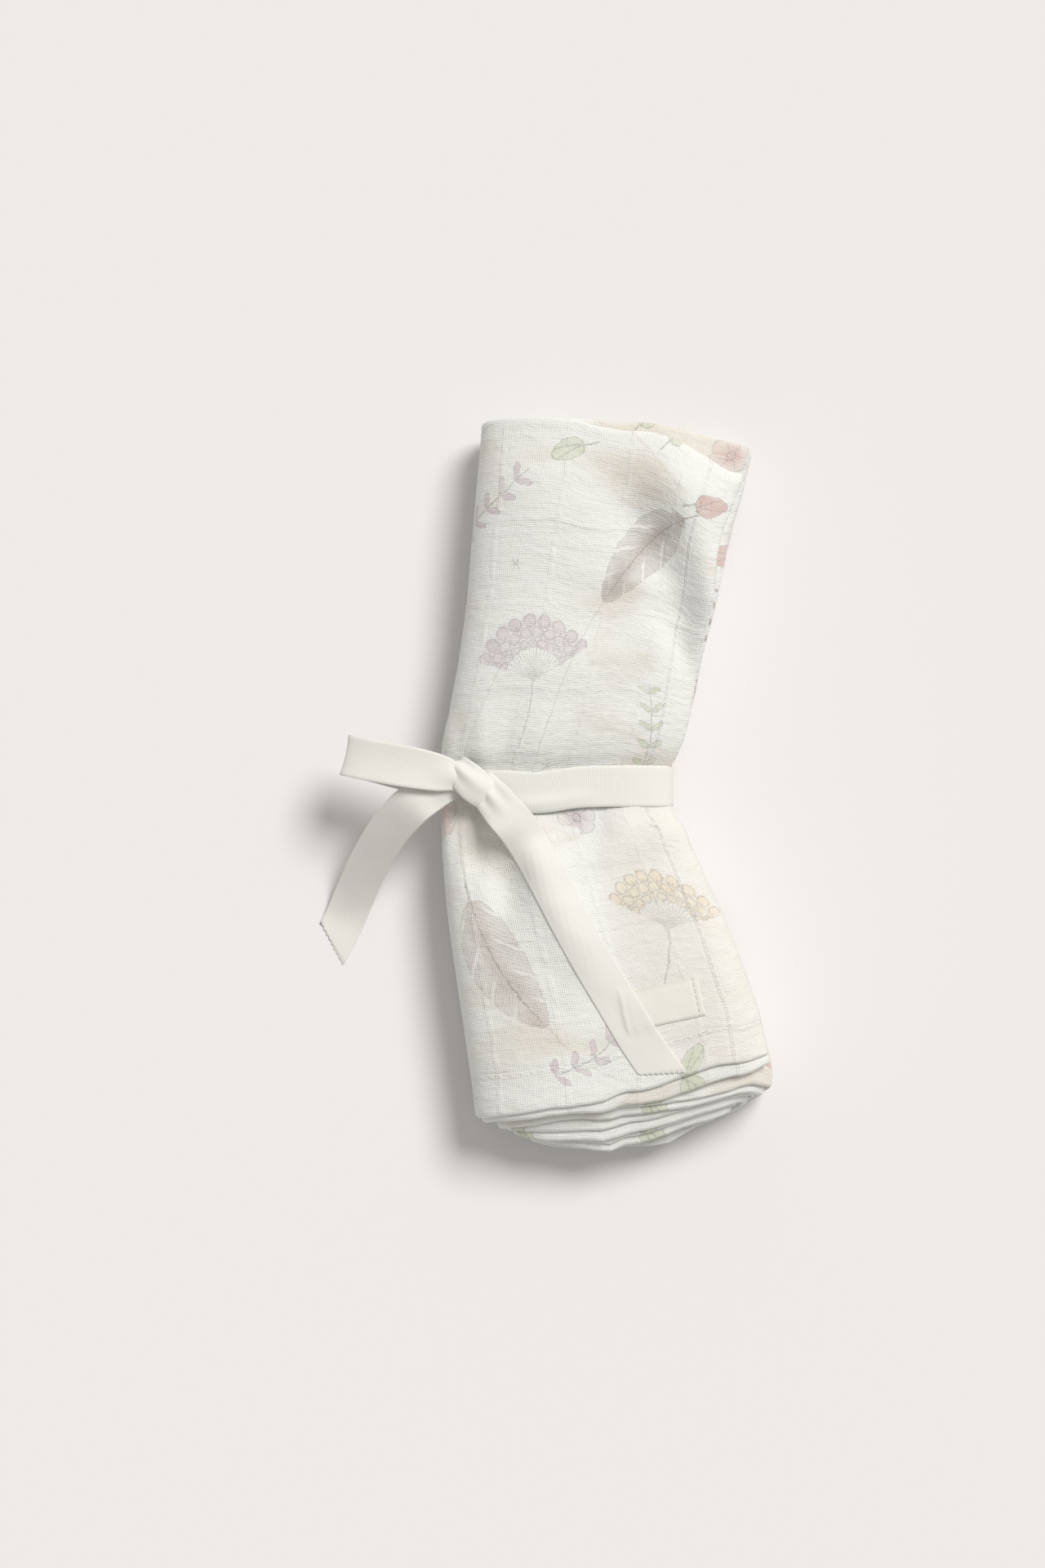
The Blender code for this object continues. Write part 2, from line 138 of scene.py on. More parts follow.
# The wound cloth's edges: degrees round the roll from its right side, then y of the hem at the foot of the
# outer layer, of the fold under it, of the fold at the head, and of the hem inside that
EDGES = np.array([
    (18, -84.8, -86.6, 94.8, 89.0),
    (36, -86.0, -88.4, 96.2, 90.5),
    (64, -87.9, -91.4, 101.8, 96.2),
    (82, -91.8, -96.3, 107.0, 101.6),
    (90, -95.6, -98.9, 109.4, 104.0),
    (95, -98.7, -101.2, 110.6, 105.4),
    (106, -100.5, -101.9, 112.8, 107.6),
    (130, -103.3, -104.1, 114.4, 108.9),
    (165, -105.0, -105.4, 113.2, 108.0),
    (200, -105.2, -106.4, 111.5, 106.0),
    (270, -107.6, -108.8, 110.0, 105.0),
    (300, -103.0, -104.0, 108.0, 103.0),
    (330, -98.0, -99.0, 106.0, 101.0),
    (360, -95.6, -97.2, 105.0, 100.0),
    (396, -94.0, -96.0, 106.2, 100.0),
    (424, -96.8, -98.4, 108.6, 102.4),
    (442, -99.2, -101.1, 111.4, 105.0),
    (450, -100.8, -102.6, 112.6, 106.0),
    (455, -102.8, -104.4, 112.9, 106.4),
    (466, -103.0, -104.3, 113.6, 107.2),
    (490, -104.8, -106.0, 114.1, 107.9),
    (525, -106.2, -107.4, 113.4, 107.0),
    (560, -107.2, -108.8, 111.6, 106.0),
    (630, -109.6, -110.8, 109.6, 104.0),
    (660, -103.8, -104.8, 108.0, 102.0),
    (700, -99.6, -100.8, 106.0, 100.0),
    (740, -97.6, -99.2, 105.0, 99.0),
    (784, -100.6, -102.6, 108.4, 102.4),
    (802, -104.2, -106.4, 110.2, 103.5),
    (810, -106.2, -108.7, 111.0, 104.0),
    (815, -108.4, -111.0, 111.2, 104.2),
    (826, -108.4, -110.8, 111.6, 104.5),
    (850, -108.8, -111.0, 112.0, 105.0),
    (900, -108.6, -110.2, 111.4, 104.0),
    (990, -111.6, -112.8, 108.0, 102.0),
    (1020, -104.8, -105.8, 106.0, 100.0),
    (1050, -102.5, -103.6, 105.0, 99.0),
    (1090, -101.5, -103.0, 104.0, 98.0),
    (1144, -104.6, -106.2, 107.0, 100.0),
    (1162, -108.2, -110.1, 108.0, 100.8),
    (1170, -110.8, -112.6, 108.4, 101.0),
    (1176, -113.2, -115.0, 108.5, 101.1),
    (1186, -112.8, -114.4, 108.6, 101.2),
    (1210, -111.2, -112.6, 108.6, 101.2),
    (1260, -110.6, -112.0, 108.4, 101.0),
    (1350, -113.0, -114.0, 105.0, 98.0),
    (1380, -106.0, -107.2, 104.0, 98.0),
    (1440, -104.0, -105.5, 103.0, 97.0),
    (1656, -111.5, -113.0, 103.0, 96.0),
])

# How the cloth's edges wander: height, scale, first seed
RAGGED = [(0.7, 17.0, 11), (0.25, 5.0, 21)]

# How far apart the mesh's columns are, by distance from the outer edge, and its rows, by share of the length
COLUMN_SPACING = (0, 110, 200, 240, 400), (2.0, 2.4, 3.0, 3.8, 4.4)
OUTER_SPACING = (0, 0.05, 0.5, 0.95, 1), (1.3, 2.0, 2.3, 2.0, 1.3)
INNER_SPACING = (0, 0.08, 0.15, 0.85, 0.92, 1), (1.5, 2.5, 14, 14, 2.5, 1.5)


def smooth(t):
    t = np.clip(t, 0.0, 1.0)
    return t * t * (3 - 2 * t)


def blend(a, b, t):
    return a + (b - a) * t


def unit(vectors):
    return vectors / np.linalg.norm(vectors, axis=-1, keepdims=True)


def lengths_along(points):
    """The distance along a line of points to each of them."""
    return np.concatenate([[0], np.cumsum(np.linalg.norm(np.diff(points, axis=0), axis=1))])


def through(table, at):
    """The smooth curve through the table's rows, at places counted in rows from 0."""
    last = len(table) - 1
    at = np.clip(at, 0, last)
    i = np.clip(np.floor(at).astype(int), 0, last - 1)
    t = (at - i)[..., None]
    before, a, b, after = (table[np.clip(i + k, 0, last)] for k in (-1, 0, 1, 2))
    square = 2 * before - 5 * a + 4 * b - after
    cube = 3 * (a - b) + after - before
    return 0.5 * (2 * a + (b - before) * t + square * t**2 + cube * t**3)


def averaged(values, reach, axis=0, **ends):
    """The values evened out over their neighbours up to reach away. ends tells np.pad how they go on."""
    kernel = np.hanning(2 * reach + 1)
    pads = [(reach, reach) if k == axis else (0, 0) for k in range(values.ndim)]
    wide = np.pad(values, pads, **ends)
    return np.apply_along_axis(np.convolve, axis, wide, kernel / kernel.sum(), mode="valid")


def wobble(a, b, seed, scale):
    """Smooth noise from -1 to 1 over two coordinates."""
    a, b = np.broadcast_arrays(a, b)
    found = [noise.noise(Vector((p / scale, q / scale, seed * 7.31))) for p, q in zip(a.ravel(), b.ravel())]
    return np.array(found).reshape(a.shape)


def section_at(y):
    found = through(SECTIONS[:, 1:], np.interp(y, SECTIONS[:, 0], np.arange(len(SECTIONS))))
    return found[..., 0], found[..., 1], np.maximum(found[..., 2], 0.0), found[..., 3]


def fold_height(x, y):
    total = sum(height * wobble(x, y * closer, seed, scale) for height, scale, closer, seed in UNEVEN)
    for fold_x, fold_y, length, width, angle, height in FOLDS + CREASES:
        c, s = math.cos(math.radians(angle)), math.sin(math.radians(angle))
        along = ((x - fold_x) * c + (y - fold_y) * s) / (length / 2)
        across = ((y - fold_y) * c - (x - fold_x) * s) / (width / 2)
        total += height * np.exp(-(along**2) - across**2)
    return total


def shape(x, y, z):
    """The tied roll from the plain spiral, all in millimetres."""
    z = np.maximum(z - BASE_FLAT, 0.0)
    left, right, low, high = section_at(y)
    place = blend(left, right, (x / HALF_WIDTH + 1) / 2)
    return np.stack([place, y, low + z / HEIGHT * (high - low + fold_height(place, y))], axis=-1)


def rounded(angle, half_width, half_height):
    """A place on the rounded section, which is squarer at its base than at its top."""
    c, s = np.cos(angle), np.sin(angle)
    power = np.where(s > 0, np.where(c > 0, 2 / RIGHT_POWER, 2 / LEFT_POWER), 2 / BASE_POWER)
    return np.sign(c) * np.abs(c) ** power * half_width, np.sign(s) * np.abs(s) ** power * half_height


def in_frame(points):
    """Points of the tables, in millimetres, to metres in the object's own frame."""
    points = np.array(points, float)
    points[..., 0] -= MIDDLE[0]
    points[..., 1] -= MIDDLE[1]
    return points * MM


# ---------------- mesh helpers

def new_object(name, verts, faces, material, uv=None):
    mesh = bpy.data.meshes.new(name)
    mesh.from_pydata([tuple(v) for v in verts], [], faces)
    if uv is not None:
        layer = mesh.uv_layers.new(name="cloth_uv")
        index = np.empty(len(mesh.loops), int)
        mesh.loops.foreach_get("vertex_index", index)
        layer.data.foreach_set("uv", np.asarray(uv, float)[index].ravel())
    mesh.shade_smooth()
    mesh.materials.append(material)
    obj = bpy.data.objects.new(name, mesh)
    bpy.context.scene.collection.objects.link(obj)
    return obj


def closed_sheet(front, back, coords, rim):
    """Vertices, faces and UVs of a closed thin sheet. It is made from the grids of its two faces and of the
    cloth's own coordinates, in millimetres, and a rim rounds its edges by that share of its thickness."""
    front, back = in_frame(front), in_frame(back)
    rows, columns = front.shape[:2]
    size = rows * columns

    def face_grid(start, flip):
        a = (np.arange(rows - 1)[:, None] * columns + np.arange(columns - 1)[None]).ravel() + start
        quads = np.stack([a, a + 1, a + columns + 1, a + columns], axis=1)
        return quads[:, ::-1] if flip else quads

    edge = [(0, j) for j in range(columns)] + [(i, columns - 1) for i in range(1, rows)]
    edge += [(rows - 1, j) for j in range(columns - 2, -1, -1)] + [(i, 0) for i in range(rows - 2, 0, -1)]
    i, j = np.array(edge).T
    middle = (front + back) / 2
    outward = np.zeros((len(edge), 3))
    for at_edge, outer, inner in (
        (i == 0, middle[0, j], middle[1, j]),
        (i == rows - 1, middle[-1, j], middle[-2, j]),
        (j == 0, middle[i, 0], middle[i, 1]),
        (j == columns - 1, middle[i, -1], middle[i, -2]),
    ):
        outward += np.where(at_edge[:, None], outer - inner, 0)
    outward /= np.linalg.norm(outward, axis=1, keepdims=True) + 1e-12
    gap = np.linalg.norm(front[i, j] - back[i, j], axis=1, keepdims=True)
    rim_verts = middle[i, j] + outward * gap * rim

    a = i * columns + j
    b = np.roll(a, -1)
    r = 2 * size + np.arange(len(edge))
    s = np.roll(r, -1)
    faces = [face_grid(0, False), face_grid(size, True)]
    faces += [np.stack([b, a, r, s], axis=1), np.stack([s, r, a + size, b + size], axis=1)]
    verts = np.concatenate([front.reshape(-1, 3), back.reshape(-1, 3), rim_verts])
    uv = np.concatenate([coords.reshape(-1, 2), coords.reshape(-1, 2), coords[i, j]]) * MM
    return verts, np.concatenate(faces).tolist(), uv


# ---------------- the blanket

def spiral():
    """The strip's middle line in the plain roll: distance along it, turn, x, z and its outward normal."""
    turn = np.linspace(0, TURNS, 9000)
    whole = np.floor(turn)
    inset = PACK / 2 + PITCH * (whole + smooth((turn - whole - STEP_FROM) / (STEP_TO - STEP_FROM)))
    angle = math.radians(OUTER_EDGE_DEG) + 2 * math.pi * turn
    x, z = rounded(angle, HALF_WIDTH - inset, np.maximum(HEIGHT / 2 - inset, 0.0))
    distance = lengths_along(np.stack([x, z], axis=1))
    even = np.linspace(0, distance[-1], 6000)
    turn, x, z = (np.interp(even, distance, values) for values in (turn, x, z))
    x, z = (averaged(values, 15, mode="reflect", reflect_type="odd") for values in (x, z))
    dx, dz = np.gradient(x, even), np.gradient(z, even)
    length = np.hypot(dx, dz)
    return even, turn, x, z + HEIGHT / 2, dz / length, -dx / length


def graded(total, spacing, scale=1.0):
    """Places from 0 to total whose spacing follows a table of spacings, each divided by scale."""
    fine = np.linspace(0, total, 4000)
    steps = np.interp((fine[1:] + fine[:-1]) / 2, *spacing) / scale
    count = np.concatenate([[0], np.cumsum(np.diff(fine) / steps)])
    return np.interp(np.linspace(0, count[-1], math.ceil(count[-1]) + 1), count, fine)


def parted(y, foot, head):
    """How far an outer or inner layer is from the middle one, which is more towards the ends."""
    at_foot = SWELL[0] * (1 - smooth((y - foot) / SWELL_REACH))
    at_head = SWELL[1] * (1 - smooth((head - y) / SWELL_REACH))
    return PLY + at_foot + at_head


def edge_lines(columns, turn):
    """y of the hem and the fold at the foot, and of the fold and the hem at the head, at each column."""
    angle = OUTER_EDGE_DEG + 360 * turn
    lines = through(EDGES[:, 1:], np.interp(angle, EDGES[:, 0], np.arange(len(EDGES)))).T
    return [
        line + sum(height * wobble(columns, columns * 0, seed + k, scale) for height, scale, seed in RAGGED)
        for k, line in enumerate(lines)
    ]


def cloth_rows():
    """The cloth's way across the strip: out along the outer layer, back along the middle one, and out along
    the inner one. A row is its kind, ply, share of the length from the foot, and angle in a fold."""
    outer = graded(1.0, OUTER_SPACING, LENGTH)
    inner = graded(1.0, INNER_SPACING, LENGTH)
    bends = np.linspace(0, math.pi, 9)[1:-1]
    rows = [("outer", 0, u, 0.0) for u in outer] + [("head_fold", 0, 1.0, bend) for bend in bends]
    rows += [("middle", 1, 1 - u, 0.0) for u in inner] + [("foot_fold", 2, 0.0, bend) for bend in bends]
    return rows + [("inner", 2, u, 0.0) for u in inner]


def cloth_spot(kind, u, bend, lines, near):
    """How far out of the strip's middle line the cloth is, its y, and its front's direction in those two."""
    foot_hem, foot_fold, head_fold, head_hem = lines
    c, s = math.cos(bend), math.sin(bend)
    if kind == "outer":
        y = blend(foot_hem, head_fold, u)
        open_corner = PUFF * near * np.exp(-(((head_fold - y) / PUFF_DEPTH) ** 2))
        return parted(y, foot_hem, head_fold) + open_corner, y, 1.0, 0.0
    if kind == "head_fold":
        radius = (PLY + SWELL[1] + PUFF * near) / 2
        return radius + radius * c, head_fold + HEAD_BEND * radius * s, c, s
    if kind == "middle":
        return 0.0, blend(foot_fold, head_fold, u), -1.0, 0.0
    if kind == "foot_fold":
        radius = (PLY + SWELL[0]) / 2
        return -radius + radius * c, foot_fold - FOOT_BEND * radius * s, -c, s
    y = blend(foot_fold, head_hem, u)
    return -parted(y, foot_fold, head_hem), y, 1.0, 0.0


def blanket():
    """The wound cloth's vertices, faces and UVs."""
    distance, turn, *middle_line = spiral()
    columns = graded(distance[-1], COLUMN_SPACING)
    lines = edge_lines(columns, np.interp(columns, distance, turn))
    near = smooth(1 - columns / PUFF_REACH)

    front, back, coords = [], [], []
    width, last = 0.0, None
    for kind, ply, u, bend in cloth_rows():
        level = blend(EDGES[0, 2], EDGES[0, 3], u)
        shift = np.interp(level, *FREE_SIDE.T) * LAYER_SHARES[ply]
        shift += FREE_SIDE_WANDER * noise.noise(Vector((level / WANDER_SCALE, ply * 3.3, 1.7)))
        place = columns + max(0.0, shift) * smooth(1 - columns / FREE_SIDE_REACH)
        x, z, nx, nz = (np.interp(place, distance, values) for values in middle_line)
        size = np.hypot(nx, nz)
        nx, nz = nx / size, nz / size
        off, y, n_off, n_y = cloth_spot(kind, u, bend, lines, near)

        spot = np.stack([columns * 0 + off, y])
        if last is not None:
            width += float(np.mean(np.hypot(*(spot - last))))
        last = spot
        coords.append(np.stack([-columns, columns * 0 + width], axis=-1))

        # The hem's spare thickness is on the back of the cloth
        from_edge = {"outer": y - lines[0], "inner": lines[3] - y}.get(kind, columns)
        extra = HEM_EXTRA * (1 - smooth((np.minimum(columns, from_edge) - HEM) / HEM_STEP))
        for grid, reach in ((front, THICK / 2), (back, -THICK / 2 - extra)):
            out = off + n_off * reach
            grid.append(shape(x + nx * out, y + n_y * reach, z + nz * out))
    return closed_sheet(np.array(front), np.array(back), np.array(coords), RIM)


# ---------------- the ribbon

RIBBON, RIBBON_THICK, RIBBON_RIM = 12.7, 0.36, 0.5
BAND_SECTION, BAND_STAND = (-26.0, 47.2, 2.9, 30.7), 0.45  # left, right, low, high, and its distance
BAND_Y, BAND_DIP = -0.6, -2.2  # its place along the roll, and how far it dips right of the knot
KNOT, KNOT_DEG, KNOT_HEIGHT = (-15.4, 0.2), 148, 3.2  # its place, its angle round the band, its rise
LIE, EDGE_LIE = 0.14, 0.1  # how far the lying ribbon is off the cloth, and how much less at its edges
FREE_UNTIL, LIES_FROM = 14.0, 30.0  # the stretch in which the long tail comes down on the cloth
SIDE_DROP = 6.0  # how far at most one of its sides is below the other
CUT_ROWS = 5  # the last rows of a tail, which its cut end draws out

# The long tail: x, y, height over the cloth, width
LONG_TAIL = [
    (-14.0, 1.0, 3.6, 9.6),
    (-10.4, -3.2, 4.8, 11.2),
    (-6.0, -8.4, 6.0, 12.2),
    (-1.2, -14.2, 5.6, 12.4),
    (4.0, -22.4, 3.2, 12.2),
    (9.6, -33.0, 0.5, 12.1),
    (15.2, -43.8, 0.5, 12.1),
    (21.6, -55.2, 0.5, 12.2),
    (28.9, -67.4, 0.5, 12.4),
    (36.4, -79.8, 0.5, 12.6),
    (43.6, -90.2, 0.5, 12.7),
]
# The short tail, over the roll's side to the floor: x, y, height, width. At the knot the heights are from its
# middle, and further on from the floor
SHORT_TAIL_AT_KNOT = [
    (-17.0, 1.2, -1.2, 7.0),
    (-21.5, -0.2, -0.7, 8.6),
    (-28.2, -2.4, -0.6, 11.6),
]
SHORT_TAIL = [
    (-35.4, -7.2, 29.6, 12.7),
    (-42.6, -15.2, 22.0, 12.7),
    (-48.8, -25.2, 12.6, 12.7),
    (-53.4, -34.8, 5.0, 12.7),
    (-57.0, -43.0, 1.1, 12.7),
    (-61.0, -51.0, 0.25, 12.7),
]
FLOOR_STAND = 0.25  # the height of its middle where it lies on the floor

# The loop, out from the knot along its upper leaf and back along the lower one, and the wrap, over the knot
# from the upper left to the lower right: out from the knot's middle, across, up, width
LOOP_DEG, LOOP = 167.5, [
    (0.5, 0.0, 0.6, 6.4),
    (5.0, 0.6, 2.2, 8.0),
    (11.0, 0.9, 3.0, 11.2),
    (22.0, 0.6, 3.2, 12.7),
    (33.0, 0.1, 2.0, 12.7),
    (39.2, 0.0, 0.4, 12.7),
    (41.5, 0.0, -1.4, 12.7),
    (39.8, 0.0, -3.2, 12.7),
    (33.0, 0.0, -3.6, 12.7),
    (22.0, -0.4, -2.2, 12.7),
    (11.0, -0.6, -1.0, 10.6),
    (5.0, -0.4, -0.4, 7.6),
    (0.5, 0.0, -0.2, 6.4),
]
WRAP_DEG, WRAP = -41, [
    (-6.6, 0.0, -2.6, 7.6),
    (-8.4, 0.0, -0.8, 8.2),
    (-7.4, 0.0, 1.4, 8.8),
    (-3.6, 0.1, 3.3, 10.2),
    (1.0, 0.2, 3.9, 10.6),
    (5.4, 0.2, 2.9, 9.8),
    (7.9, 0.1, 0.6, 8.6),
    (7.2, 0.0, -1.6, 7.6),
    (4.6, 0.0, -2.7, 7.0),
]


def spline(points, count):
    """Evenly spaced places along the smooth curve through rows of numbers, whose first three are a point."""
    rows = np.array(points, float)
    fine = through(rows, np.linspace(0, len(rows) - 1, 60 * len(rows)))
    distance = lengths_along(fine[:, :3])
    even = np.linspace(0, distance[-1], count)
    return np.stack([np.interp(even, distance, fine[:, k]) for k in range(rows.shape[1])], axis=1), even


class Strips:
    """Lengths of ribbon gathered into one mesh."""

    def __init__(self):
        self.verts, self.faces, self.uv, self.count, self.length = [], [], [], 0, 0.0

    def add(self, centre, side, width, profile, distance, across, cut=None, drape=None):
        """centre and side: a point and a direction of width at each step. profile(v, i): how far the cloth
        stands off its middle surface at v, from -0.5 to 0.5 across. cut(v): how much longer the end is there.
        drape: the heights that the whole grid of points comes to lie at."""
        forward = unit(np.gradient(centre, axis=0))
        side = unit(side - forward * (side * forward).sum(axis=1, keepdims=True))
        up = np.cross(side, forward)
        v = np.linspace(-0.5, 0.5, across)
        middle = centre[:, None] + side[:, None] * (v[None, :, None] * width[:, None, None])
        lift = np.array([[profile(k, i) for k in v] for i in range(len(centre))])
        middle = middle + up[:, None] * lift[..., None]
        along = np.repeat(distance[:, None], across, axis=1)
        if cut is not None:
            start = len(centre) - CUT_ROWS
            for i in range(start, len(centre)):
                extra = np.array([cut(k) for k in v]) * (i - start) / (CUT_ROWS - 1)
                middle[i] += forward[i] * extra[:, None]
                along[i] += extra
        if drape is not None:
            middle[..., 2] = drape(middle)
        half = unit(np.cross(np.gradient(middle, axis=1), np.gradient(middle, axis=0))) * RIBBON_THICK / 2
        coords = np.stack([np.repeat(v[None] * RIBBON, len(centre), axis=0), along + self.length], axis=-1)
        verts, faces, uv = closed_sheet(middle + half, middle - half, coords, RIBBON_RIM)
        self.verts.append(verts)
        self.uv.append(uv)
        self.faces += [[k + self.count for k in face] for face in faces]
        self.count += len(verts)
        self.length += float(distance[-1])

    def build(self, name, material):
        return new_object(name, np.concatenate(self.verts), self.faces, material, np.concatenate(self.uv))


def cloth_top(tree, x, y, reach=0.8):
    """Height in millimetres of what lies highest within reach of x, y of the tables."""
    found = []
    for dx in (-reach, 0, reach):
        for dy in (-reach, 0, reach):
            start = Vector(in_frame([x + dx, y + dy, 500.0]))
            hit = tree.ray_cast(start, Vector((0, 0, -1)))[0]
            if hit:
                found.append(hit.z / MM)
    return max(found) if found else 0.0


def draped(tree, middle, distance):
    """Heights for a ribbon that comes down from its knot and lies on the cloth, bridging what is small."""
    cloth = np.array([[cloth_top(tree, x, y, 0.0) for x, y, _ in row] for row in middle])
    cloth = np.maximum(cloth, cloth[:, ::-1] - SIDE_DROP)
    eased = averaged(averaged(cloth, 4, axis=0, mode="edge"), 7, axis=1, mode="edge")
    at_edge = np.abs(np.linspace(-1, 1, middle.shape[1])) ** 4
    lying = np.maximum(eased, cloth) + RIBBON_THICK / 2 + LIE - EDGE_LIE * at_edge
    free = 1 - smooth((distance - FREE_UNTIL) / (LIES_FROM - FREE_UNTIL))
    return blend(lying, np.maximum(middle[..., 2], lying), free[:, None])


def level_side(run):
    """The level direction of width along a run of points."""
    return unit(np.cross(np.gradient(run[:, :3], axis=0), [0.0, 0.0, 1.0]))


def pinked(slant):
    """The slanted, toothed end of a ribbon, as Strips.add takes it."""
    return lambda v: -slant * v + 0.5 * abs(((-v * 9) % 1.0) - 0.5) * 2


def band(strips):
    """A rounded ring, drawn in to little more than half its width where it goes into the knot."""
    left, right, low, high = BAND_SECTION
    turn = np.linspace(0, 2 * math.pi, 190)
    half_width, half_height = (right - left) / 2 + BAND_STAND, (high - low) / 2 + BAND_STAND
    x, z = rounded(turn + math.radians(KNOT_DEG), half_width, half_height)
    centre = np.stack([(left + right) / 2 + x, turn * 0 + BAND_Y, (low + high) / 2 + z], axis=1)
    pinch = 1 - smooth((np.minimum(turn, 2 * math.pi - turn) - 0.10) / 0.75)
    dip = np.exp(-(((centre[:, 0] - 3.0) / 11) ** 2)) * smooth((turn - math.pi) / 0.5)
    centre[:, 1] += BAND_DIP * dip + 0.5 * pinch

    def profile(v, i):
        ripple = 0.495 * pinch[i] * (1 - math.cos(4 * math.pi * v)) / 2
        fold = math.exp(-(((turn[i] - 5.35) / 0.16) ** 2)) * math.exp(-(((v + 0.28) / 0.16) ** 2))
        return ripple + 0.9 * fold

    side = np.tile([0.0, 1.0, 0.0], (len(turn), 1))
    strips.add(centre, side, RIBBON * (1 - 0.42 * pinch), profile, lengths_along(centre), 13)


def long_tail(strips, tree):
    """The long tail down the front, leaning with the cloth under it."""
    run, distance = spline([(x, y, cloth_top(tree, x, y) + height, w) for x, y, height, w in LONG_TAIL], 84)
    side = level_side(run)
    for i in range(len(run)):
        low, high = (cloth_top(tree, *(run[i, :2] + side[i, :2] * k)) for k in (-5.0, 5.0))
        side[i, 2] = np.clip((high - low) / 10.0, -0.5, 0.5) * smooth(distance[i] / 20)
    side[:, 2] = averaged(side[:, 2], 6, mode="edge")

    def profile(v, i):
        gather = 1 - smooth(distance[i] / 17)
        folds = 0.9 * math.cos(2 * math.pi * v) + 0.5 * math.cos(5 * math.pi * v)
        return gather * folds + 0.3 * math.cos(math.pi * v)

    def drape(middle):
        return draped(tree, middle, distance)

    strips.add(run[:, :3], side, run[:, 3], profile, distance, 37, pinked(8.0), drape)


def short_tail(strips, knot):
    at_knot = [(x, y, knot[2] + up, width) for x, y, up, width in SHORT_TAIL_AT_KNOT]
    run, distance = spline(at_knot + SHORT_TAIL, 84)
    run[:, 2] = np.maximum(run[:, 2], FLOOR_STAND)

    def profile(v, i):
        gather = 1 - smooth(distance[i] / 18)
        settle = smooth((run[i, 2] - 0.3) / 6)
        return gather * math.cos(2 * math.pi * v) + settle * 0.5 * math.cos(math.pi * v)

    strips.add(run[:, :3], level_side(run), run[:, 3], profile, distance, 37, pinked(9.5))


def about_knot(knot, degrees, table):
    """Rows of point, width and distance out from a table about the knot, and the direction of width."""
    out = np.array([math.cos(math.radians(degrees)), math.sin(math.radians(degrees)), 0.0])
    aside = np.cross(out, [0.0, 0.0, 1.0])
    return [(*(knot + out * a + aside * b + [0, 0, c]), width, a) for a, b, c, width in table], aside


def loop(strips, knot):
    rows, aside = about_knot(knot, LOOP_DEG, LOOP)
    run, distance = spline(rows, 150)

    def profile(v, i):
        spread = smooth(run[i, 4] / 17)
        leaf = 1 if distance[i] < distance[-1] / 2 else -0.6
        return (1 - spread) * 0.9 * math.cos(2 * math.pi * v) * leaf - 0.5 * spread * math.cos(math.pi * v)

    strips.add(run[:, :3], np.tile(aside, (len(run), 1)), run[:, 3], profile, distance, 15)


def wrap(strips, knot):
    rows, aside = about_knot(knot, WRAP_DEG, WRAP)
    run, distance = spline(rows, 46)

    def profile(v, i):
        share = distance[i] / distance[-1]
        left_folds = 0.35 * (1 - smooth((share - 0.25) / 0.3)) * math.cos(2 * math.pi * (v * 2.2 + 0.2))
        low_fold = 0.18 * math.cos(2 * math.pi * (v * 1.6 - 0.3 + share))
        return 1.7 * (math.cos(math.pi * v) - 0.6) + left_folds + low_fold

    strips.add(run[:, :3], np.tile(aside, (len(run), 1)), run[:, 3], profile, distance, 25)


def ribbon(tree, material):
    """The whole tie as one mesh, and its length in millimetres."""
    strips = Strips()
    knot = np.array([*KNOT, cloth_top(tree, *KNOT) + KNOT_HEIGHT])
    band(strips)
    long_tail(strips, tree)
    short_tail(strips, knot)
    loop(strips, knot)
    wrap(strips, knot)
    return strips.build("ribbon", material), strips.length


# ---------------- materials

class Value:
    """A number in a shader, which Python's own signs work on."""

    def __init__(self, graph, socket):
        self.graph, self.socket = graph, socket

    def __add__(self, other):
        return self.graph.math("ADD", self, other)

    def __sub__(self, other):
        return self.graph.math("SUBTRACT", self, other)

    def __rsub__(self, other):
        return self.graph.math("SUBTRACT", other, self)

    def __mul__(self, other):
        return self.graph.math("MULTIPLY", self, other)

    def __truediv__(self, other):
        return self.graph.math("DIVIDE", self, other)

    def __pow__(self, other):
        return self.graph.math("POWER", self, other)

    def __neg__(self):
        return self.graph.math("MULTIPLY", self, -1.0)

    def __abs__(self):
        return self.graph.math("ABSOLUTE", self)


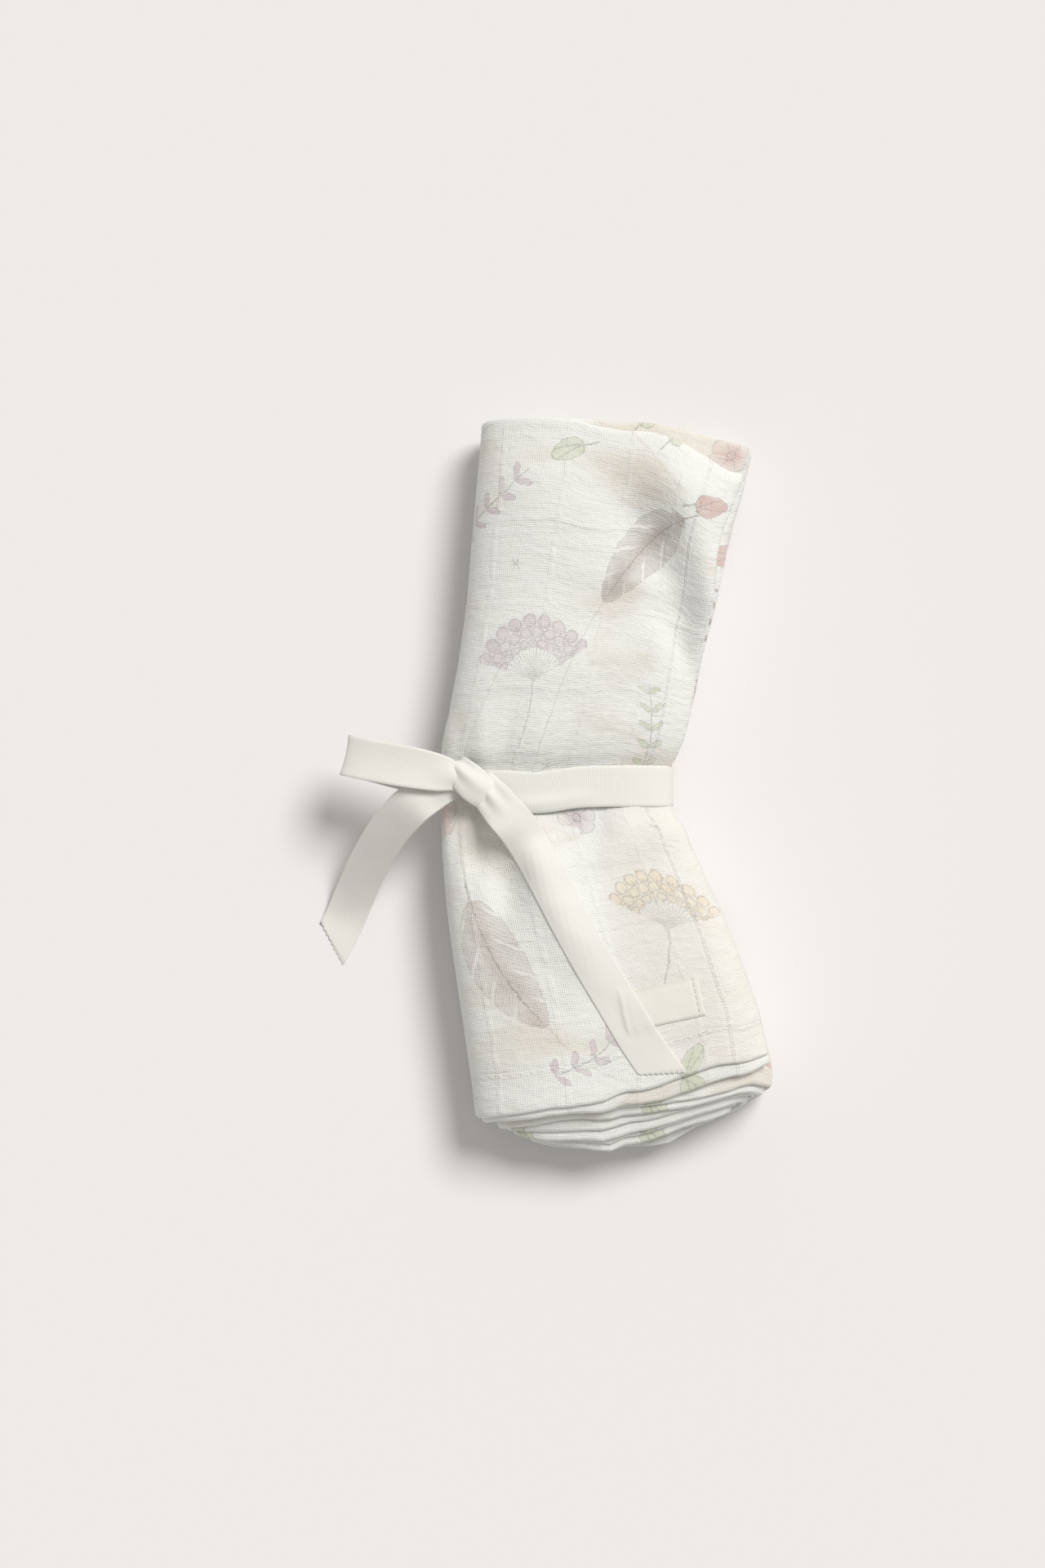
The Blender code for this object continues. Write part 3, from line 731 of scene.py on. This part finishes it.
class Graph:
    """A material's nodes, laid out as they are made."""

    def __init__(self, name, roughness, specular):
        self.material = bpy.data.materials.new(name)
        self.material.use_nodes = True
        self.tree = self.material.node_tree
        self.shader = self.tree.nodes["Principled BSDF"]
        self.shader.inputs["Roughness"].default_value = roughness
        self.shader.inputs["Specular IOR Level"].default_value = specular
        self.count = 0

    def node(self, kind, **settings):
        made = self.tree.nodes.new(kind)
        made.location = (-240 - 170 * (self.count % 40), -60 - 190 * (self.count // 40))
        self.count += 1
        for name, value in settings.items():
            setattr(made, name, value)
        return made

    def put(self, value, socket):
        if isinstance(value, Value):
            self.tree.links.new(value.socket, socket)
        else:
            socket.default_value = value

    def math(self, operation, *values):
        made = self.node("ShaderNodeMath", operation=operation)
        for value, socket in zip(values, made.inputs):
            self.put(value, socket)
        return Value(self, made.outputs[0])

    def step(self, value, low, high):
        """Smoothly from 0 at low to 1 at high, whichever is greater."""
        made = self.node("ShaderNodeMapRange", interpolation_type="SMOOTHSTEP")
        self.put(value, made.inputs["Value"])
        swapped = low > high
        made.inputs["From Min"].default_value = min(low, high)
        made.inputs["From Max"].default_value = max(low, high)
        made.inputs["To Min"].default_value = 1.0 if swapped else 0.0
        made.inputs["To Max"].default_value = 0.0 if swapped else 1.0
        return Value(self, made.outputs["Result"])

    def cloth_place(self):
        """The cloth's own coordinates, in millimetres."""
        uv = self.node("ShaderNodeUVMap", uv_map="cloth_uv")
        parts = self.node("ShaderNodeSeparateXYZ")
        self.tree.links.new(uv.outputs["UV"], parts.inputs[0])
        return Value(self, parts.outputs[0]) * 1000.0, Value(self, parts.outputs[1]) * 1000.0

    def noise(self, x, y, scale, detail, seed, roughness=0.5):
        """Noise from 0 to 1 whose lumps are about scale wide."""
        place = self.node("ShaderNodeCombineXYZ")
        self.put(x * (1.0 / scale), place.inputs[0])
        self.put(y * (1.0 / scale), place.inputs[1])
        place.inputs[2].default_value = seed
        made = self.node("ShaderNodeTexNoise", noise_dimensions="3D")
        self.tree.links.new(place.outputs[0], made.inputs["Vector"])
        made.inputs["Scale"].default_value = 1.0
        made.inputs["Detail"].default_value = detail
        made.inputs["Roughness"].default_value = roughness
        return Value(self, made.outputs[0])

    def wander(self, x, y, scale, detail, seed, width):
        """Noise about 0, in a band of that width."""
        return (self.noise(x, y, scale, detail, seed) - 0.5) * width

    def wave(self, value, period, shift=0.0):
        """A cosine from 0 to 1."""
        cosine = self.math("COSINE", value * (2 * math.pi / period) + shift)
        return self.math("MULTIPLY_ADD", cosine, 0.5, 0.5)

    def greatest(self, found, *others):
        for other in others:
            found = self.math("MAXIMUM", found, other)
        return found

    def least(self, a, b):
        return self.math("MINIMUM", a, b)

    def colour_mix(self, under, over, share):
        made = self.node("ShaderNodeMix", data_type="RGBA", clamp_factor=True)
        self.put(share, made.inputs[0])
        for value, socket in ((under, made.inputs[6]), (over, made.inputs[7])):
            if isinstance(value, Value):
                self.tree.links.new(value.socket, socket)
            else:
                socket.default_value = (*value, 1)
        return Value(self, made.outputs[2])

    def sheen(self, weight, roughness):
        self.shader.inputs["Sheen Weight"].default_value = weight
        self.shader.inputs["Sheen Roughness"].default_value = roughness

    def finish(self, colour, height):
        """The material, with its colour and its relief in metres."""
        self.tree.links.new(colour.socket, self.shader.inputs["Base Color"])
        bump = self.node("ShaderNodeBump")
        bump.inputs["Strength"].default_value = 1.0
        bump.inputs["Distance"].default_value = 1.0
        self.tree.links.new(height.socket, bump.inputs["Height"])
        self.tree.links.new(bump.outputs["Normal"], self.shader.inputs["Normal"])
        return self.material


def linear(red, green, blue):
    """A colour as the screen has it, from 0 to 255, in the shader's own scale. None here is nearly black."""
    return tuple(((v / 255 + 0.055) / 1.055) ** 2.4 for v in (red, green, blue))


# The print's motifs, in the cloth's own millimetres: kind, x, y, turn in degrees, size, pigment.
# These come again with each repeat of the print
REPEAT = (108.0, 213.0)
MOTIFS = [
    ("umbel", -60.0, 132.0, 8, 19.0, "lilac"),
    ("umbel", -20.0, 48.0, -14, 18.0, "ochre"),
    ("blossom", -90.0, 92.0, 20, 8.5, "coral"),
    ("blossom", -38.0, 88.0, 5, 7.0, "lilac"),
    ("feather", -30.0, 176.0, 232, 42.0, "brown"),
    ("feather", -74.0, 44.0, 292, 44.0, "fawn"),
    ("sprig", -84.0, 186.0, 38, 34.0, "lilac"),
    ("sprig", -14.0, 118.0, 100, 30.0, "sage"),
    ("sprig", -52.0, 14.0, 24, 26.0, "lilac"),
    ("bud", -7.0, 200.0, -60, 6.0, "coral"),
    ("bud", -60.0, 204.0, 120, 5.5, "sage"),
    ("bud", -100.0, 10.0, 70, 6.0, "coral"),
    ("bud", -24.0, 4.0, -35, 5.5, "sage"),
    ("star", -72.0, 168.0, 10, 2.3, "ink"),
    ("star", -48.0, 106.0, 40, 2.0, "ink"),
    ("star", -12.0, 84.0, 15, 2.2, "ink"),
    ("star", -64.0, 74.0, 0, 1.8, "ink"),
]
# These are on the inner layers that show at the ends and the free side, and come once
INNER_MOTIFS = [
    ("blossom", -214.0, 209.0, 30, 7.5, "coral"),
    ("bud", -1.0, 243.0, 80, 7.0, "coral"),
    ("sprig", -3.0, 266.0, 84, 22.0, "brown"),
    ("bud", -3.0, 292.0, 95, 6.5, "coral"),
]
# Single washes of sand: x, y, how far they reach along each, strength. The last lies on the outer layer by
# its free side, towards the foot. It is partly the print's sand and partly painted shade that tones down that
# brightly lit side
SAND_AND_SHADE_WASHES = [
    (-206.0, 8.0, 24.0, 22.0, 1.0),
    (-236.0, 212.0, 26.0, 10.0, 1.0),
    # Partly the print's sand, partly painted shade on the brightly lit side
    (-8.0, 46.0, 34.0, 62.0, 0.5),
]
PIGMENTS = {
    "sand": linear(224, 218, 203),
    "lilac": linear(209, 196, 203),
    "ochre": linear(233, 217, 184),
    "coral": linear(208, 172, 162),
    "sage": linear(206, 216, 190),
    "brown": linear(170, 161, 152),
    "fawn": linear(196, 186, 175),
    "ink": linear(118, 108, 112),
}
LAID_IN_TURN = ("sand", "lilac", "ochre", "coral", "sage", "fawn", "brown")
# The last of these three colours is painted shade, laid where the muslin's threads dip between each other
MUSLIN, PALE_THREAD, WEAVE_SHADE = linear(238, 240, 237), linear(240, 240, 238), linear(214, 209, 200)
# The middle one of these three colours is painted shade for the grooves between the ribbon's ribs
RIBBON_RIB, RIBBON_GROOVE_SHADE, RIBBON_PATCH = linear(233, 233, 228), linear(221, 220, 212), linear(236, 236, 232)
# The middle one of these three colours is painted shade between the label's threads
TAPE, TAPE_WEAVE_SHADE, TAPE_SEAM = linear(239, 238, 230), linear(225, 223, 212), linear(214, 210, 200)
FLOOR = linear(236, 235, 235)

GAUZE_LINES = (20.0, 26.0)  # the squares in which the two gauzes are bound
HEM_SEAM, SIDE_SEAM, STITCH = 11.6, 10.8, 3.1  # how far in the hems' stitches are, and their length
LABEL, LABEL_SEAM = (25.0, 12.0), 1.6  # the label's size, and how far in from its ends it is sewn


def turned(g, x, y, motif, repeats):
    """A place as the motif has it, from its own middle and turned with it."""
    _, across, up, degrees, _, _ = motif
    dx, dy = x - across, y - up
    if repeats:
        dx = g.math("WRAP", dx, REPEAT[0] / 2, -REPEAT[0] / 2)
        dy = g.math("WRAP", dy, REPEAT[1] / 2, -REPEAT[1] / 2)
    c, s = math.cos(math.radians(degrees)), math.sin(math.radians(degrees))
    return dx * c + dy * s, dy * c - dx * s


def blossom(g, px, py, size):
    """A round flower head seen a little from the side: its petals' wash, and its lines."""
    py = py * 1.22
    away = g.math("SQRT", px * px + py * py)
    angle = g.math("ARCTAN2", py, px)
    petals = abs(g.math("COSINE", angle * 3.0))
    rim = petals**0.5 * (0.24 * size) + 0.76 * size
    inside = g.step(away - rim, 0.4, -0.4)
    outline = g.step(abs(away - rim), 0.45, 0.1)
    between = g.step(petals * away, 1.1, 0.3) * inside * g.step(away, 0.2 * size, 0.34 * size)
    veins = g.step(abs(g.math("SINE", angle * 12.0)) * away, 0.8, 0.1) * g.step(away, 0.8 * size, 0.3 * size)
    heart = g.step(abs(away - 0.2 * size), 0.5, 0.1)
    shade = g.step(away, 0.95 * size, 0.2 * size) * 0.55 + 0.4
    return inside * shade, g.greatest(outline * 0.6, between * 0.6, heart, veins * 0.45)


FLORET_ARC = 0.131  # half the way from one of the umbel's florets to the next, in radians
# Its rings of florets: the ring's radius and a floret's, as shares of the umbel's size, shift, strength
UMBEL_RINGS = [(1.0, 0.105, 0.0, 0.85), (0.8, 0.09, FLORET_ARC, 0.68), (0.62, 0.07, 0.0, 0.68)]


def umbel(g, px, py, size):
    """A wide flower head on fine stalks: the wash of its florets, and its lines."""
    px = px + py * py * (0.12 / size)
    away = g.math("SQRT", px * px + py * py)
    angle = g.math("ARCTAN2", px, py)
    within = g.step(abs(angle), 1.13, 1.1)
    stem = g.step(abs(px), 0.4, 0.1) * g.step(py, 0.3, -0.3) * g.step(py, -1.1 * size, -1.05 * size)
    glow = g.step(abs(away - 0.85 * size), 0.34 * size, 0.1 * size) * within * 0.4
    washes, lines = [glow], [stem * 0.8]
    for share, floret, shift, strength in UMBEL_RINGS:
        aside = g.math("WRAP", angle + shift, FLORET_ARC, -FLORET_ARC) * away
        stalk = g.step(abs(aside), 0.3, 0.06) * g.step(away, share * size, (share - 0.06) * size)
        off = away - share * size
        spot = g.math("SQRT", aside * aside + off * off)
        round_spot = g.step(spot, floret * size + 0.35, floret * size - 0.35)
        ring = g.step(abs(spot - floret * size), 0.42, 0.1)
        washes.append(round_spot * within * strength)
        lines.append(g.greatest(stalk * 0.5, ring * 0.75) * within)
    return g.greatest(*washes), g.greatest(*lines)


def feather(g, px, py, size):
    """A bowed feather: its vane, split here and there, its shaft and its fine barbs."""
    py = py - px * px * (0.22 / size)
    along = px / (size / 2)
    away = abs(py)
    slant = px - away * 1.15
    split = g.step(g.wave(slant, 10.5, 0.8), 0.93, 1.0) * g.step(away, 1.5, 4.5)
    half = g.greatest(1.0 - along * along, 0.0) ** 0.62 * (0.2 * size) * (1.0 - along * 0.22)
    inside = g.step(away - half, 0.6, -0.6) * (1.0 - split)
    outline = g.step(abs(away - half), 0.4, 0.1) * g.step(abs(along), 1.0, 0.97) * (1.0 - split)
    shaft = g.step(away, 0.34, 0.1) * g.step(along, -1.32, -1.28) * g.step(along, 0.94, 0.9)
    barbs = g.step(g.wave(slant, 1.5), 0.62, 0.95) * inside
    shade = g.step(away, 0.14 * size, 0.0) * 0.45 + 0.45
    return inside * shade, g.greatest(outline * 0.5, shaft, barbs * 0.42)


def sprig(g, px, py, size):
    """A thin bowed stem with a leaf on each side every few millimetres."""
    py = py - px * px * (0.16 / size)
    within = g.step(abs(px), size / 2, size / 2 - 0.6)
    stem = g.step(abs(py), 0.36, 0.1) * within
    step = g.math("WRAP", px, 3.1, -3.1) - abs(py) * 0.55
    side = (abs(py) - 2.4) / 2.1
    blade = step * step * (1 / 1.15**2) + side * side
    leaves = g.step(blade, 1.1, 0.8) * within
    line = g.step(abs(blade - 1.0), 0.3, 0.08) * within
    return leaves, g.greatest(stem, line * 0.7)


def bud(g, px, py, size):
    """A closed flower with a short stem."""
    tall = py / size
    wide = px / (size * 0.62)
    shape_value = wide * wide * g.greatest(tall * 0.35 + 1.15, 0.6) + tall * tall
    inside = g.step(shape_value, 1.05, 0.9)
    outline = g.step(abs(shape_value - 1.0), 0.11, 0.03)
    middle = g.step(abs(abs(px) - (py + size) * 0.16), 0.4, 0.1) * inside
    within = g.step(py, -0.9 * size, -size) * g.step(py, -2.0 * size, -1.9 * size)
    stem = g.step(abs(px - py * 0.08), 0.45, 0.12) * within
    return inside, g.greatest(outline, middle * 0.7, stem)


def star(g, px, py, size):
    """A small mark of three crossed strokes, which has lines and no wash."""
    away = g.math("SQRT", px * px + py * py)
    angle = g.math("ARCTAN2", py, px)
    strokes = g.step(abs(g.math("SINE", angle * 3.0)) * away, 0.5, 0.15)
    return None, strokes * g.step(away, size, size * 0.8)


DRAWN = {"blossom": blossom, "umbel": umbel, "feather": feather, "sprig": sprig, "bud": bud, "star": star}


def weave(g, x, y, pitch_x, pitch_y, wander=0.6):
    """Height of a plain weave, from 0 to 1, with threads that wander a little."""
    u = x + g.wander(x, y, 2.6, 2.0, 3.0, wander)
    v = y + g.wander(x, y, 2.2, 2.0, 9.0, wander)
    over = g.math("COSINE", u * (math.pi / pitch_x)) * g.math("COSINE", v * (math.pi / pitch_y))
    return g.wave(v, pitch_y) * (over * 0.5 + 0.5) + g.wave(u, pitch_x) * (over * -0.5 + 0.5)


def muslin_relief(g, x, y, threads):
    """The cloth's height in metres, and the thread of the lines that bind its two gauzes."""
    slubs = g.noise(x * 0.25, y * 2.2, 1.0, 2.0, 5.0)
    sway_x = g.wander(x, y, 30.0, 1.0, 21.0, 2.4)
    sway_y = g.wander(x, y, 30.0, 1.0, 27.0, 2.4)
    line_x = abs(g.math("WRAP", x + sway_x, GAUZE_LINES[0] / 2, -GAUZE_LINES[0] / 2))
    line_y = abs(g.math("WRAP", y + sway_y, GAUZE_LINES[1] / 2, -GAUZE_LINES[1] / 2))
    near_line = g.least(line_x, line_y)
    broken = g.step(g.noise(x, y, 5.0, 1.0, 29.0), 0.3, 0.62)
    groove = g.step(near_line, 1.3, 0.0) * broken
    thread_line = g.step(near_line, 0.42, 0.12) * broken
    puckers = g.noise(x, y * 2.3, 8.0, 3.0, 33.0)
    fine_puckers = g.noise(x * 0.75, y * 1.9, 2.6, 2.0, 41.0)
    ruck = g.noise(x * 1.1, y * 1.1, 1.5, 1.0, 47.0)
    height = threads * 0.00011 + slubs * 0.00004 + puckers * 0.00050 + fine_puckers * 0.00022 + ruck * 0.00010
    height = height - groove * 0.00017 + thread_line * 0.00005

    # The hems: stitches a little in from the free edges, and the step where the turned-in cloth ends
    for inwards, run, seam in ((y + sway_y * 0.2, x, HEM_SEAM), (-x + sway_x * 0.2, y, SIDE_SEAM)):
        off_seam = abs(inwards - seam)
        stitch = g.step(off_seam, 0.36, 0.14) * g.step(g.wave(run, STITCH), 0.1, 0.34)
        height = height - g.step(off_seam, 1.0, 0.1) * 0.00018 + stitch * 0.00015
        height = height + g.step(inwards, seam + 1.9, seam + 0.7) * 0.00012
    return height, thread_line


def print_masks(g, x, y):
    """Where each pigment's washes lie, one sand wash being partly painted shade, and the print's fine lines.
    """
    px = x + g.wander(x, y, 3.5, 2.0, 61.0, 1.5) + g.wander(x, y, 0.8, 0.0, 63.0, 0.7)
    py = y + g.wander(x, y, 3.5, 2.0, 67.0, 1.5) + g.wander(x, y, 0.8, 0.0, 69.0, 0.7)
    washes = {pigment: [] for pigment in LAID_IN_TURN}
    lines = []
    for motif in MOTIFS + INNER_MOTIFS:
        kind, _, _, _, size, pigment = motif
        wash, line = DRAWN[kind](g, *turned(g, px, py, motif, motif in MOTIFS), size)
        if pigment in washes:
            washes[pigment].append(wash)
        lines.append(line)

    clouds = g.noise(x * 0.62, y * 1.25, 30.0, 2.5, 73.0, 0.45)
    washes["sand"].append(g.step(clouds, 0.545, 0.68) * 0.95)
    # One of these washes is partly painted shade on the brightly lit side
    for across, up, reach_x, reach_y, strength in SAND_AND_SHADE_WASHES:
        out_x, out_y = (x - across) * (1 / reach_x), (y - up) * (1 / reach_y)
        washes["sand"].append(g.step(out_x * out_x + out_y * out_y, 1.0, 0.35) * strength)
    return {pigment: g.greatest(*masks) for pigment, masks in washes.items()}, g.greatest(*lines)


def muslin_material():
    g = Graph("muslin", 0.92, 0.2)
    x, y = g.cloth_place()
    uneven_x = g.wander(x, y * 0.5, 1.7, 1.0, 91.0, 0.5)
    uneven_y = g.wander(x * 0.5, y, 1.7, 1.0, 97.0, 0.5)
    threads = weave(g, x + uneven_x, y + uneven_y, 0.68, 0.74)
    height, thread_line = muslin_relief(g, x, y, threads)

    washes, lines = print_masks(g, x, y)
    soft = g.step(g.noise(x, y, 7.0, 3.0, 79.0), 0.2, 0.8) * 0.5 + 0.5
    grain = threads * 0.45 + 0.6
    colour = MUSLIN
    for pigment in LAID_IN_TURN:
        colour = g.colour_mix(colour, PIGMENTS[pigment], washes[pigment] * soft * grain)
    broken_line = g.step(g.noise(x, y, 1.6, 1.0, 83.0), 0.2, 0.6) * 0.55 + 0.45
    colour = g.colour_mix(colour, PIGMENTS["ink"], lines * broken_line * grain * 0.55)
    # Painted shade in the low places between the threads
    colour = g.colour_mix(colour, WEAVE_SHADE, g.step(threads, 0.42, 0.02) * 0.42)
    colour = g.colour_mix(colour, PALE_THREAD, thread_line * 0.2)
    g.sheen(0.25, 0.6)
    return g.finish(colour, height)


def grosgrain_material():
    """Cross ribs, with a plain selvedge along both sides."""
    g = Graph("grosgrain", 0.62, 0.3)
    across, along = g.cloth_place()
    drift = g.wander(across, along, 4.0, 1.0, 3.0, 0.25)
    rib = g.wave(along + drift, 0.62)
    strand = g.wave(across, 0.34)
    patch = g.noise(across, along, 5.0, 2.0, 7.0)
    selvedge = g.step(abs(across), 5.9, 6.3)
    height = rib * 0.00005 * (1.0 - selvedge) + strand * 0.000012 + patch * 0.00012
    # Painted shade in the grooves between the ribs
    colour = g.colour_mix(RIBBON_RIB, RIBBON_GROOVE_SHADE, g.step(rib, 0.5, 0.0) * 0.5)
    colour = g.colour_mix(colour, RIBBON_PATCH, patch * 0.4)
    g.sheen(0.15, 0.5)
    return g.finish(colour, height)


def label_material():
    """A close weave, with stitches across near both ends and a faint border along its sides."""
    g = Graph("woven_label", 0.7, 0.25)
    along, across = g.cloth_place()
    threads = weave(g, along, across, 0.42, 0.36, 0.2)
    patch = g.noise(along, across, 4.0, 2.0, 7.0)
    from_end = g.least(along, LABEL[0] - along)
    seam = g.step(abs(from_end - LABEL_SEAM), 0.3, 0.12) * g.step(g.wave(across, 2.0), 0.15, 0.4)
    border = g.step(g.least(across, LABEL[1] - across), 0.9, 0.6)
    height = threads * 0.00006 + patch * 0.00016 + seam * 0.00012
    # Painted shade in the low places between the label's threads
    colour = g.colour_mix(TAPE, TAPE_WEAVE_SHADE, g.step(threads, 0.4, 0.05) * 0.6)
    colour = g.colour_mix(colour, TAPE_SEAM, g.greatest(seam * 0.8, border * 0.35))
    return g.finish(colour, height)


def floor_material():
    g = Graph("floor", 0.85, 0.1)
    g.shader.inputs["Base Color"].default_value = (*FLOOR, 1)
    return g.material


# ---------------- the label

LABEL_PLACE, LABEL_DEG = (43.6, -68.8), 12
LABEL_THICK, LABEL_RIM = 0.34, 0.5
LABEL_STAND, LABEL_CROWN = 0.30, 0.2  # how far it is off the cloth, and how much more along its middle
SEAM_DEPTH, SEAM_WIDTH = 0.16, 0.45


def label(tree, material):
    """The woven label: a folded tape, sewn down near its ends."""
    length, width = LABEL
    c, s = math.cos(math.radians(LABEL_DEG)), math.sin(math.radians(LABEL_DEG))
    steps = np.linspace(-0.5, 0.5, 41) * length, np.linspace(-0.5, 0.5, 17) * width
    along, across = np.meshgrid(*steps, indexing="ij")
    x = LABEL_PLACE[0] + along * c - across * s
    y = LABEL_PLACE[1] + along * s + across * c
    cloth = np.array([[cloth_top(tree, *place, 0.5) for place in zip(*line)] for line in zip(x, y)])
    from_seam = length / 2 - np.abs(along) - LABEL_SEAM
    z = cloth + LABEL_STAND + LABEL_CROWN * np.cos(np.pi * across / width)
    z -= SEAM_DEPTH * np.exp(-((from_seam / SEAM_WIDTH) ** 2))
    centre = np.stack([x, y, z], axis=-1)
    half = unit(np.cross(np.gradient(centre, axis=0), np.gradient(centre, axis=1))) * LABEL_THICK / 2
    coords = np.stack([along + length / 2, across + width / 2], axis=-1)
    verts, faces, uv = closed_sheet(centre - half, centre + half, coords, LABEL_RIM)
    return new_object("label", verts, faces, material, uv)


# ---------------- the dressed pieces

verts, faces, uv = blanket()
muslin = new_object("muslin_blanket", verts, faces, muslin_material(), uv)
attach(muslin, "root")
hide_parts("blanket_roll")

roll = [Vector(v) for v in verts]
tag = label(BVHTree.FromPolygons(roll, faces), label_material())
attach(tag, "root")
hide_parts("sewn_label")

tag_verts = [v.co for v in tag.data.vertices]
tag_faces = [[k + len(roll) for k in face.vertices] for face in tag.data.polygons]
tie, tie_length = ribbon(BVHTree.FromPolygons(roll + tag_verts, faces + tag_faces), grosgrain_material())
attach(tie, "root")
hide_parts("ribbon_tie")

# ---------------- camera and light

# The photo is taken from straight above. Its scale is the one at CAMERA_LEVEL, a little under the roll's top
CAMERA_HEIGHT, CAMERA_LEVEL, PIXELS_PER_MM, PHOTO_PIXELS = 1400.0, 30.0, 3.9, 1920
SENSOR = 36.0
FLOOR_REACH = 2.0
SUN_FROM, SUN_STRENGTH, SUN_WIDTH_DEG, SUN_COLOUR = (0.38, 0.48, 0.79), 2.42, 24, (1.0, 0.972, 0.95)
SKY_STRENGTH, SKY_COLOUR = 0.42, (1.0, 0.958, 0.925, 1)

camera_data = bpy.data.cameras.new("camera")
camera_data.lens = SENSOR * (CAMERA_HEIGHT - CAMERA_LEVEL) / (PHOTO_PIXELS / PIXELS_PER_MM)
camera_data.sensor_width = SENSOR
camera_data.clip_start = 0.05
camera = bpy.data.objects.new("camera", camera_data)
camera.location = in_frame([0, 0, CAMERA_HEIGHT])
bpy.context.scene.collection.objects.link(camera)
bpy.context.scene.camera = camera

corners = [(x * FLOOR_REACH, y * FLOOR_REACH, 0) for x, y in ((-1, -1), (1, -1), (1, 1), (-1, 1))]
floor = new_object("floor", corners, [(0, 1, 2, 3)], floor_material())

world = bpy.data.worlds.new("world")
world.use_nodes = True
sky = world.node_tree.nodes["Background"]
sky.inputs["Color"].default_value = SKY_COLOUR
sky.inputs["Strength"].default_value = SKY_STRENGTH
bpy.context.scene.world = world

sun_data = bpy.data.lights.new("key", "SUN")
sun_data.energy = SUN_STRENGTH
sun_data.angle = math.radians(SUN_WIDTH_DEG)
sun_data.color = SUN_COLOUR
sun = bpy.data.objects.new("key", sun_data)
sun.rotation_euler = Vector(SUN_FROM).to_track_quat("Z", "Y").to_euler()
bpy.context.scene.collection.objects.link(sun)
bpy.context.scene.view_settings.view_transform = "Standard"
